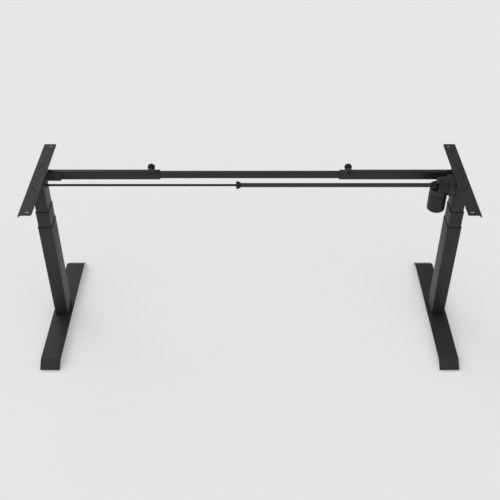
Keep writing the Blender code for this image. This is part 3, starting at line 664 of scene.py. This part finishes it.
def bracket_corner_cutters(side_sign, low, high):
    """Cutters that round the plate's two inner corners and the lip's lower ones."""
    edge, outer_edge = BRACKET_INNER_EDGE, max(abs(low.x), abs(high.x))
    cutters = []
    for y, direction in ((low.y, -1), (high.y, 1)):
        past = y + direction * WASTE
        centre_y = y - direction * BRACKET_CORNER
        quarter = arc(edge + BRACKET_CORNER, centre_y, BRACKET_CORNER, 180, 180 + direction * -90, 8)
        waste = quarter + [(edge + BRACKET_CORNER, past), (edge - WASTE, past), (edge - WASTE, centre_y)]
        cutters.append(cutter([(side_sign * x, yy) for x, yy in waste], high.z - CLEAR, high.z + CLEAR))
        round_y, round_z = y - direction * LIP_CORNER, low.z + LIP_CORNER
        first = 0 if direction > 0 else 180
        waste = arc(round_y, round_z, LIP_CORNER, first, first - direction * 90, 8)
        waste += [(round_y, low.z - WASTE), (past, low.z - WASTE), (past, round_z)]
        cutters.append(cutter(waste, -0.006, 0.006, (side_sign * outer_edge, 0, 0), ALONG_X))
    return cutters


def build_bracket(side, sign):
    name = side + "_side_bracket"
    low, high = box_of(name)
    edge, outer_edge, top = BRACKET_INNER_EDGE, max(abs(low.x), abs(high.x)), high.z
    bend_x, bend_z = outer_edge - BRACKET_BEND, top - BRACKET_BEND
    section = ([(edge, top - SHEET), (edge, top)] + arc(bend_x, bend_z, BRACKET_BEND, 90, 0, 6)
               + [(outer_edge, low.z), (outer_edge - SHEET, low.z)]
               + arc(bend_x, bend_z, BRACKET_BEND - SHEET, 0, 90, 4))
    section = anticlockwise([(sign * x, z) for x, z in section])
    plate = loft(side + "_bracket_plate", [(section, low.y), (section, high.y)], POWDER, turn=FACING_FRONT)
    # The section's height runs along -Y after the turn, so the plate is moved back to its own span.
    for vertex in plate.data.vertices:
        vertex.co.y = low.y + high.y + vertex.co.y
    tab_low, tab_high = TAB_SPAN
    tab_edge = edge - TAB_REACH
    tab = [(edge + TAB_REACH, tab_low), (edge, tab_low), (tab_edge, tab_low + TAB_REACH),
           (tab_edge, tab_high - TAB_REACH), (edge, tab_high), (edge + TAB_REACH, tab_high)]
    tab = eased([(sign * x, y) for x, y in tab], 0.0012, 4, closed=True)
    carve(plate, [cutter(tab, top - SHEET, top)], "UNION")
    tools = []
    for start, end, radius in SLANTING_SLOTS + END_SLOTS:
        outline = slot_outline((sign * start[0], start[1]), (sign * end[0], end[1]), radius)
        tools.append(cutter(outline, top - CLEAR, top + CLEAR))
    tools += bracket_corner_cutters(sign, low, high)
    screws = [middle_of(f"{side}_bracket_screw_{index}") for index in (1, 2)]
    for screw in screws:
        sink = [(0, top + 0.002), (0.0062, top + 0.002), (0.0059, top), (0.0034, top - 0.0025),
                (0.0034, top - 0.006), (0, top - 0.006)]
        tools.append(turned("cutter", sink, POWDER, (screw.x, screw.y, 0), ease=0))
    carve(plate, tools)
    break_edges(plate, 0.00035)
    ride(plate, side + "_top", [name])
    for index, screw in enumerate(screws, 1):
        node = f"{side}_bracket_screw_{index}"
        foot, head = box_of(node)[0].z, box_of(node)[1].z
        loops = [(circle(BRACKET_SCREW - 0.0002), foot), (circle(BRACKET_SCREW), foot + 0.0004),
                 (circle(BRACKET_SCREW), head - 0.0023), (circle(0.0054), head - 0.0002),
                 (circle(0.0052), head), (hexagon(0.0044), head), (hexagon(0.0040), head - 0.0003),
                 (hexagon(0.0040), head - 0.0018), (circle(0.0008), head - 0.0023)]
        ride(loft(f"{side}_countersunk_screw_{index}", loops, POWDER, (screw.x, screw.y, 0)), side + "_top",
             [node])
    # Dark fillers of black steel sunk in the slanting slots below the plate's top: painted shade that stands
    # in for the shadow inside the slots
    for index, (start, end, radius) in enumerate(SLANTING_SLOTS, 1):
        outline = anticlockwise(slot_outline((sign * start[0], start[1]), (sign * end[0], end[1]),
                                             radius + 0.0001))
        ride(prism(f"{side}_slot_painted_shade_{index}", outline, top - SHEET, top - 0.0012, BLACK_STEEL),
             side + "_top")


# ---- cross beam --------------------------------------------------
RAIL_WALL = 0.0018
RAIL_CORNER = 0.0020
EAR = 0.003                     # thickness
SADDLE_SPAN = (0.7050, 0.7570)  # along X, as are the spans of the blocks
SADDLE_WALL = 0.0020
REAR_BLOCK_SPAN = (0.7525, 0.7870)
FRONT_BLOCK_SPAN = (0.7475, 0.7869)
FRONT_BLOCK_BOTTOM = 0.6615
SOCKET_BOLT_X = 0.7700
SOCKET_BOLT_HEIGHTS = (0.6260, 0.6560)


def build_centre_rail():
    low, high, centre = measures("centre_rail")
    deep, tall = high.y - low.y, high.z - low.z
    ride(hollow_section("centre_rail_tube", (deep, tall), 0.0015, RAIL_CORNER, low.x, high.x,
                        (0, centre.y, centre.z), ALONG_X), "centre", ["centre_rail"])
    outline = rounded_rectangle(deep - 0.0032, tall - 0.0032, 0.0009, 4)
    for side, end, turn in (("left", low.x, AGAINST_X), ("right", high.x, ALONG_X)):
        ride(prism(f"centre_rail_{side}_plug", outline, -0.004, 0.0008, PLASTIC, (end, centre.y, centre.z),
                   turn),
             "centre")


def build_outer_rail(side, sign):
    node = side + "_outer_rail"
    low, high = box_of(node)
    centre = middle_of("centre_rail")
    bottom, top = low.z, 2 * centre.z - low.z
    rail = hollow_section(side + "_rail_tube", (high.y - low.y, top - bottom), RAIL_WALL, RAIL_CORNER,
                          low.x, high.x, (0, centre.y, centre.z), ALONG_X)
    mouth, turn = (high.x, AGAINST_X) if sign < 0 else (low.x, ALONG_X)
    slit = slot_outline((mouth - sign * 0.01, centre.y), (mouth + sign * 0.054, centre.y), 0.0008)
    carve(rail, [cutter(slit, top - 0.004, top + 0.004)])
    ride(rail, side + "_top", [node])
    clamp = middle_of(side + "_clamp_washer")
    for label, y in (("front", low.y + EAR / 2), ("rear", high.y - EAR / 2)):
        outline = [(-0.0125, top - 0.0010), (0.0125, top - 0.0010)]
        outline += arc(0, high.z - 0.0088, 0.0088, 12, 168, 14)
        outline = [(x, z - clamp.z) for x, z in eased(outline, 0.0012, 3, closed=True)]
        place = (clamp.x, y, clamp.z)
        ear = prism(f"{side}_rail_{label}_ear", anticlockwise(outline), -EAR / 2, EAR / 2, POWDER, place,
                    FACING_FRONT)
        hole = [(0, -CLEAR), (SCREW_HOLE, -CLEAR), (SCREW_HOLE, CLEAR), (0, CLEAR)]
        carve(ear, [turned("cutter", hole, POWDER, place, ALONG_Y, ease=0, points=32)])
        ride(ear, side + "_top")
    inside = RAIL_WALL + 0.00088
    for label, z in (("upper", top - inside), ("lower", bottom + inside)):
        ride(prism(f"{side}_rail_{label}_shoe", rounded_rectangle(0.0128, 0.0015, 0.0005, 3), -0.0004, 0.030,
                   PLASTIC, (mouth, centre.y, z), turn), side + "_top")


def build_rail_socket(side, sign):
    """Saddle under the rail's end, with the blocks that carry it from the bracket, and their bolts."""
    low, high = box_of(side + "_rail_socket")
    rail_low, rail_high = box_of(side + "_outer_rail")
    centre = middle_of("centre_rail")
    start, end = sorted(sign * x for x in SADDLE_SPAN)
    bottom, top = low.z, 2 * centre.z - rail_low.z - 0.0040
    front, rear, floor = rail_low.y - GAP, rail_high.y + GAP, rail_low.z - GAP
    front_face, rear_face = front - SADDLE_WALL, rear + SADDLE_WALL
    outer = [(front_face, top), (front_face, bottom), (rear_face, bottom), (rear_face, top)]
    inner = [(rear, top), (rear, floor), (front, floor), (front, top)]
    outline = [eased([(y - centre.y, z - centre.z) for y, z in path], radius, 8)
               for path, radius in ((outer, 0.0040), (inner, 0.0024))]
    ride(prism(side + "_rail_saddle", anticlockwise(outline[0] + outline[1]), start, end, POWDER,
               (0, centre.y, centre.z), ALONG_X), side + "_top", [side + "_rail_socket"])
    blocks = (("rear", REAR_BLOCK_SPAN, (front_face + 0.0001, rear_face - 0.0001), (bottom + 0.0001, high.z)),
              ("front", FRONT_BLOCK_SPAN, (low.y, front_face + 0.0005),
               (FRONT_BLOCK_BOTTOM, high.z - 0.0001)))
    for label, xs, ys, zs in blocks:
        outline = rounded_rectangle(xs[1] - xs[0], ys[1] - ys[0], 0.0022)
        place = (sign * sum(xs) / 2, sum(ys) / 2, 0)
        block = prism(f"{side}_socket_{label}_block", outline, *zs, POWDER, place, edge=0.0008)
        if label == "front":
            carve(block, [screw_way_for(side + "_bracket_screw_1")])
        ride(block, side + "_top")
    for index, z in enumerate(SOCKET_BOLT_HEIGHTS, 1):
        spot = (sign * SOCKET_BOLT_X, rear_face - 0.0002, z)
        ride(socket_head(f"{side}_socket_bolt_{index}", 0.0045, 0.0030, 0.0040, spot, ALONG_Y, domed=True),
             side + "_top")


def build_clamp(side):
    """Fluted knob with a capped face, its threaded stud, the washer and the round nut."""
    def grip(rows):
        return [(lobes(reach, flute), height) for reach, flute, height in rows]

    knob_low, knob_high = box_of(side + "_clamp_knob")
    centre = (knob_low + knob_high) / 2
    radius = (knob_high.x - knob_low.x) / 2
    washer_low, washer_high = box_of(side + "_clamp_washer")
    place = (centre.x, washer_low.y - GAP, centre.z)
    deep = place[1] - knob_low.y
    knob = grip(((0.0070, 0, 0), (0.0094, 0, 0), (0.0098, 0, 0.0006), (radius * 0.965, 0.0008, 0.0026),
                 (radius, 0.0011, 0.0038), (radius, 0.0011, deep - 0.0028),
                 (radius * 0.955, 0.0008, deep - 0.0012), (radius * 0.85, 0, deep - 0.0003),
                 (radius * 0.78, 0, deep), (radius * 0.68, 0, deep - 0.0002),
                 (radius * 0.60, 0, deep - 0.0018), (radius * 0.56, 0, deep - 0.0030)))
    knob.append(([(0, 0)], deep - 0.0030))
    ride(loft(side + "_knob_grip", knob, KNOB_PLASTIC, place, FACING_FRONT), side + "_knob",
         [side + "_clamp_knob"])
    cap = [(0, deep - 0.0034), (radius * 0.54, deep - 0.0034), (radius * 0.54, deep - 0.0022),
           (radius * 0.46, deep - 0.0015), (radius * 0.20, deep - 0.0011), (0, deep - 0.0010)]
    ride(turned(side + "_knob_cap", cap, PLASTIC, place, FACING_FRONT, ease=0.0003), side + "_knob")
    length, pitch = knob_high.y - place[1], 0.0010
    stud = [(0, -0.001), (0.0029, -0.001), (0.0029, 0.0200)]
    stud += thread(0.0202, pitch, int((length - 0.0208) / pitch), 0.0030, 0.0026, (0.30, 0.40, 0.75, 0.90))
    stud += [(0.0024, length), (0, length)]
    ride(turned(side + "_knob_stud", stud, STEEL, place, ALONG_Y, ease=0.0001, points=32), side + "_knob")
    thick = washer_high.y - washer_low.y
    washer = [(0.0034, 0), (0.0084, 0), (0.0084, thick), (0.0034, thick)]
    ride(turned(side + "_plated_washer", washer, STEEL, (centre.x, washer_low.y, centre.z), ALONG_Y,
                ring=True, ease=0.0003), side + "_washer", [side + "_clamp_washer"])
    low, high = box_of(side + "_clamp_nut")
    radius, tall = (high.x - low.x) / 2, high.y - low.y
    nut = grip(((0.0034, 0, 0), (0.0094, 0, 0), (radius * 0.86, 0, 0.0008), (radius, 0.0010, 0.0022),
                (radius, 0.0010, tall - 0.0024), (radius * 0.86, 0, tall - 0.0010),
                (0.0094, 0, tall - 0.0001), (0.0060, 0, tall), (0.0056, 0, tall - 0.0008),
                (0.0036, 0, tall - 0.0008), (0.0034, 0, tall - 0.0012)))
    ride(loft(side + "_round_nut", nut, KNOB_PLASTIC, (centre.x, low.y, centre.z), ALONG_Y, ring=True),
         side + "_top", [side + "_clamp_nut"])


# ---- drive -------------------------------------------------------
DRUM_START = 0.6858             # where the gearbox drum begins, along X
DRUM_RADIUS = 0.0306
DRUM_RIBS = (0.0215, 0.0130, 0.0045)        # their distance from the drum's start
NECK_TOP = 0.6235
NECK_RADIUS = 0.0328
NECK_EDGE = 0.0025
FLANGE_RADIUS = 0.0405
FLANGE_SCREW_ANGLES = (238, 302, 140)       # degrees
SET_SCREW_HOLE = 0.0023
ROUND = 96                      # points round the motor, the drum and the flange


def build_shaft():
    low, high, centre = measures("hex_rod")
    axis = (0, centre.y, centre.z)
    across = min(high.z - low.z, high.y - low.y)
    flat, nose = hexagon(across), hexagon(across - 0.0016)
    loops = [(nose, low.x), (flat, low.x + 0.0010), (flat, high.x - 0.0010), (nose, high.x)]
    ride(loft("hexagonal_rod", loops, BLACK_STEEL, axis, ALONG_X, smooth=20), "left_shaft", ["hex_rod"])
    tube_low, tube_high = box_of("drive_tube")
    radius = (tube_high.z - tube_low.z) / 2
    bore = radius - 0.0027
    tube = [(bore, tube_low.x), (radius, tube_low.x), (radius, tube_high.x), (bore, tube_high.x)]
    ride(turned("drive_tube_skin", tube, SHAFT_COAT, axis, TIPPED_TO_X, ring=True, ease=0.0005, points=48),
         "right_shaft", ["drive_tube"])
    collar_low, collar_high = box_of("shaft_collar")
    start, reach = collar_low.x, (collar_high.z - collar_low.z) / 2
    mouth = tube_low.x - GAP
    profile = [(radius + GAP, collar_high.x), (0.0088, collar_high.x), (0.0095, collar_high.x - 0.0006),
               (reach - 0.0002, start + 0.0100), (reach, start + 0.0088), (reach, start + 0.0016),
               (reach - 0.0012, start), (0.0056, start), (0.0047, start + 0.0009), (0.0047, mouth),
               (radius + GAP, mouth)]
    collar = turned("shaft_collar_ring", profile, BLACK_STEEL, axis, TIPPED_TO_X, ring=True, ease=0.0005)
    screw = middle_of("collar_screw")
    hole = [(0, 0.0040), (SET_SCREW_HOLE, 0.0040), (SET_SCREW_HOLE, 0.030), (0, 0.030)]
    carve(collar, [turned("cutter", hole, BLACK_STEEL, (screw.x, centre.y, centre.z), ease=0, points=32)])
    ride(collar, "right_shaft", ["shaft_collar"])
    screw_low, screw_high = box_of("collar_screw")
    top = screw_high.z
    loops = [(circle(0.0016), screw_low.z), (circle(0.0020), screw_low.z + 0.0005),
             (circle(0.0020), top - 0.0003), (circle(0.0018), top), (hexagon(0.0021), top),
             (hexagon(0.0019), top - 0.0002), (hexagon(0.0019), top - 0.0015), (circle(0.0003), top - 0.0018)]
    ride(loft("collar_set_screw", loops, STEEL, (screw.x, screw.y, 0)), "right_shaft", ["collar_screw"])
    build_coupling(centre)


def build_coupling(centre):
    """Bell-shaped sleeve on the tube's end, held by two set screws, with the stub that enters the gearbox."""
    low, high = box_of("shaft_coupling")
    reach = (high.z - low.z) / 2
    tube_end = box_of("drive_tube")[1].x + GAP
    bore = 0.0081
    sleeve_end, screw_x = low.x + 0.0211, low.x + 0.0175
    profile = [(0, high.x), (0.0041, high.x), (0.0041, sleeve_end), (reach - 0.0014, sleeve_end),
               (reach, sleeve_end - 0.0014), (reach, low.x + 0.0150), (reach - 0.0007, low.x + 0.0143),
               (0.0146, low.x + 0.0110), (0.0131, low.x + 0.0072), (0.0108, low.x + 0.0032), (0.0094, low.x),
               (bore, low.x), (bore, tube_end), (0, tube_end)]
    coupling = turned("coupling_sleeve", profile, BLACK_STEEL, (0, centre.y, centre.z), TIPPED_TO_X,
                      ease=0.0005)
    spot, turns = (screw_x, centre.y, centre.z), (UPRIGHT, FACING_FRONT)
    carve(coupling, [round_cutter(0.0022, reach - 0.0030, reach + CLEAR, spot, turn) for turn in turns])
    ride(coupling, "right_shaft", ["shaft_coupling"])
    screw = [(circle(0.0020), reach - 0.0032), (circle(0.0020), reach - 0.0008),
             (circle(0.0018), reach - 0.0005), (hexagon(0.0023), reach - 0.0005),
             (hexagon(0.0021), reach - 0.0018), (circle(0.0004), reach - 0.0021)]
    for index, turn in enumerate(turns, 1):
        ride(loft(f"coupling_set_screw_{index}", screw, BLACK_STEEL, spot, turn), "right_shaft")


def build_motor():
    low, high, centre = measures("motor_can")
    radius = (high.x - low.x) / 2
    bottom, top = low.z, high.z
    groove = radius - 0.0007
    can = [(0, top), (radius - 0.0012, top), (radius, top - 0.0010), (radius, top - 0.0045),
           (groove, top - 0.0052), (groove, top - 0.0062), (radius, top - 0.0069), (radius, bottom + 0.0070)]
    can += arc(radius - 0.0070, bottom + 0.0070, 0.0070, 0, -90, 10)[1:]
    can += [(0.0145, bottom), (0.0138, bottom + 0.0008), (0.0100, bottom + 0.0008), (0.0092, bottom),
            (0.0045, bottom), (0.0040, bottom + 0.0012), (0, bottom + 0.0014)]
    ride(turned("motor_body", can, MOTOR, (centre.x, centre.y, 0), points=ROUND), "right_top", ["motor_can"])
    for index, angle in enumerate((radians(35), radians(215)), 1):
        spot = (centre.x + 0.0185 * cos(angle), centre.y + 0.0185 * sin(angle), bottom + 0.0003)
        ride(socket_head(f"motor_end_screw_{index}", 0.0024, 0.0007, 0.0020, spot, UPSIDE_DOWN, domed=True),
             "right_top")
    build_gearbox(centre, top)
    build_flange()
    build_gland()


def build_gearbox(motor, motor_top):
    """Ribbed drum round the shaft, cast in one with the upright neck that the motor hangs from."""
    shaft = middle_of("hex_rod")
    start, end, reach = DRUM_START, box_of("motor_gearbox")[1].x, DRUM_RADIUS
    groove = reach - 0.0028
    profile = [(0.0050, end), (reach, end)]
    for rib in (start + distance for distance in DRUM_RIBS):
        profile += [(reach, rib + 0.0042), (groove, rib + 0.0032), (groove, rib + 0.0004),
                    (reach, rib - 0.0008)]
    profile += [(reach, start + 0.0014), (reach - 0.0022, start), (0.0190, start), (0.0176, start + 0.0012),
                (0.0050, start + 0.0012)]
    drum = turned("gearbox_drum", profile, CAST, (0, shaft.y, shaft.z), TIPPED_TO_X, ring=True, ease=0.0006,
                  points=ROUND)
    neck = [(0, motor_top + GAP), (NECK_RADIUS, motor_top + GAP), (NECK_RADIUS, NECK_TOP - NECK_EDGE),
            (NECK_RADIUS - NECK_EDGE, NECK_TOP), (0, NECK_TOP)]
    carve(drum, [turned("cutter", neck, CAST, (motor.x, motor.y, 0), ease=0.0012, points=ROUND)], "UNION")
    carve(drum, [cutter(rounded_rectangle(0.04, 0.12, 0.001, 2), 0.58, 0.70, (end + 0.02, 0, 0))])
    ride(drum, "right_top", ["motor_gearbox"])
    for index in range(4):
        angle = radians(45 + 90 * index)
        spot = (start + 0.0002, shaft.y + 0.0245 * cos(angle), shaft.z + 0.0245 * sin(angle))
        if spot[2] > NECK_TOP + 0.003:
            ride(socket_head(f"gearbox_cover_screw_{index + 1}", 0.0024, 0.0016, 0.0021, spot, TIPPED_FROM_X,
                             domed=True), "right_top")


def build_flange():
    """Round flange against the column, cut flat under the bracket."""
    shaft = middle_of("hex_rod")
    low, high = box_of("gearbox_flange")
    start, end, reach = low.x, high.x, FLANGE_RADIUS
    profile = [(0.0108, end), (reach - 0.0016, end), (reach, end - 0.0016), (reach, start + 0.0105),
               (reach - 0.0010, start + 0.0098), (reach - 0.0010, start + 0.0086), (reach, start + 0.0079),
               (reach - 0.0006, start + 0.0066), (reach - 0.0062, start), (0.0108, start)]
    flange = turned("flange_casting", profile, CAST, (0, shaft.y, shaft.z), TIPPED_TO_X, ring=True,
                    ease=0.0008, points=ROUND)
    above = rounded_rectangle(0.08, 0.12, 0.001, 2)
    carve(flange, [cutter(above, high.z, high.z + 0.03, (start + 0.02, shaft.y, 0))])
    break_edges(flange, 0.0005, 40)
    ride(flange, "right_top", ["gearbox_flange"])
    for index, angle in enumerate(map(radians, FLANGE_SCREW_ANGLES), 1):
        spot = (start + 0.0046, shaft.y + 0.0340 * cos(angle), shaft.z + 0.0340 * sin(angle))
        ride(socket_head(f"flange_screw_{index}", 0.0040, 0.0040, 0.0035, spot, TIPPED_FROM_X), "right_top")


def build_gland():
    low, high, centre = measures("cable_gland")
    reach, tall = (high.x - low.x) / 2, high.y - low.y
    loops = [(circle(reach * 0.90), 0), (hexagon(reach * 1.72), 0.0004), (hexagon(reach * 1.72), 0.0030),
             (circle(reach * 0.80), 0.0034), (circle(reach * 0.72), 0.0040), (circle(reach * 0.72), 0.0092),
             (circle(reach * 0.64), 0.0110), (circle(reach * 0.46), tall), (circle(reach * 0.34), tall),
             (circle(reach * 0.30), tall - 0.0008), (circle(reach * 0.30), tall - 0.0060),
             ([(0, 0)], tall - 0.0060)]
    ride(loft("gland_body", loops, PLASTIC, (centre.x, low.y, centre.z), ALONG_Y), "right_top",
         ["cable_gland"])


# ---- build everything --------------------------------------------
for leg, outwards in SIDES:
    build_foot(leg)
    build_columns(leg, outwards)
    build_head(leg, outwards)
    build_bracket(leg, outwards)
    build_outer_rail(leg, outwards)
    build_rail_socket(leg, outwards)
    build_clamp(leg)
build_centre_rail()
build_shaft()
build_motor()

for entry in frame["record"]["subparts"]:
    node = frame["nodes"][entry["node"]]
    for slot in node.material_slots:
        slot.material = FINISHES[entry["material_slot"]]


# ---- stage, light and camera -------------------------------------
FLOOR_HALF = 15.0
FLOOR_TONE = 0.80
FLOOR_GLOW = 0.235
KEY_STRENGTH = 0.50
KEY_ANGLE = 50                  # degrees across
KEY_DIRECTION = Vector((0.60, -0.76, -0.74))
DOME_DARK_SIDE = Vector((0.75, 0.85, 0.45))
DOME_REACH = (0.0, 0.9)         # how far towards its dark side the dome starts and ends to darken
DOME_RADIANCE = (0.70, 0.33)    # on the light side and on the dark side
DOME_RISE = (0.68, 1.30)        # how much of that it has at the horizon and overhead
CAMERA_PLACE = (0, -2.4415, 2.30)
CAMERA_TILT = 51.2              # degrees up from looking straight down
CAMERA_SHIFT = 0.0005
LENS = 58.02                    # millimetres, on a 36 mm sensor


def build_stage():
    """A pale floor that glows faintly, as a seamless studio floor lit from below does."""
    work = bmesh.new()
    bmesh.ops.create_grid(work, x_segments=4, y_segments=4, size=FLOOR_HALF)
    floor = new_piece("studio_floor", work, bpy.data.materials.new("studio_floor_paint"))
    material = floor.data.materials[0]
    material.use_nodes = True
    shader = material.node_tree.nodes["Principled BSDF"]
    for socket, value in (("Base Color", (FLOOR_TONE, FLOOR_TONE, FLOOR_TONE, 1)), ("Roughness", 0.9),
                          ("Specular IOR Level", 0.1), ("Emission Color", (1, 1, 1, 1)),
                          ("Emission Strength", FLOOR_GLOW)):
        shader.inputs[socket].default_value = value


def build_light():
    """A broad soft key from the rear left, under a dome that is darker towards the rear right."""
    scene = bpy.context.scene
    world = bpy.data.worlds.new("studio_world")
    world.use_nodes = True
    nodes, links = world.node_tree.nodes, world.node_tree.links
    background = nodes["Background"]
    place = nodes.new("ShaderNodeTexCoord").outputs["Generated"]
    toward = nodes.new("ShaderNodeVectorMath")
    toward.operation = "DOT_PRODUCT"
    toward.inputs[1].default_value = DOME_DARK_SIDE.normalized()
    links.new(place, toward.inputs[0])
    shade = add_node(world, "MapRange", "Result", {
        "From Min": DOME_REACH[0], "From Max": DOME_REACH[1], "To Min": DOME_RADIANCE[0],
        "To Max": DOME_RADIANCE[1], "Value": toward.outputs["Value"]})
    shade.node.interpolation_type = "SMOOTHSTEP"
    height = add_node(world, "SeparateXYZ", "Z", {"Vector": place})
    rise = add_node(world, "MapRange", "Result",
                    {"To Min": DOME_RISE[0], "To Max": DOME_RISE[1], "Value": height})
    radiance = nodes.new("ShaderNodeMath")
    radiance.operation = "MULTIPLY"
    links.new(shade, radiance.inputs[0])
    links.new(rise, radiance.inputs[1])
    links.new(radiance.outputs["Value"], background.inputs["Strength"])
    background.inputs["Color"].default_value = (1, 1, 1, 1)
    scene.world = world
    lamp = bpy.data.lights.new("key_light", "SUN")
    lamp.energy = KEY_STRENGTH
    lamp.angle = radians(KEY_ANGLE)
    key = bpy.data.objects.new("key_light", lamp)
    key.rotation_euler = KEY_DIRECTION.to_track_quat("-Z", "Y").to_euler()
    scene.collection.objects.link(key)
    scene.view_settings.view_transform = "Standard"
    scene.view_settings.look = "None"


def build_camera():
    data = bpy.data.cameras.new("photo_camera")
    data.sensor_width = 36
    data.lens = LENS
    data.clip_end = 100
    data.shift_x = CAMERA_SHIFT
    camera = bpy.data.objects.new("photo_camera", data)
    camera.location = CAMERA_PLACE
    camera.rotation_euler = (radians(CAMERA_TILT), 0, 0)
    bpy.context.scene.collection.objects.link(camera)
    bpy.context.scene.camera = camera


build_stage()
build_light()
build_camera()
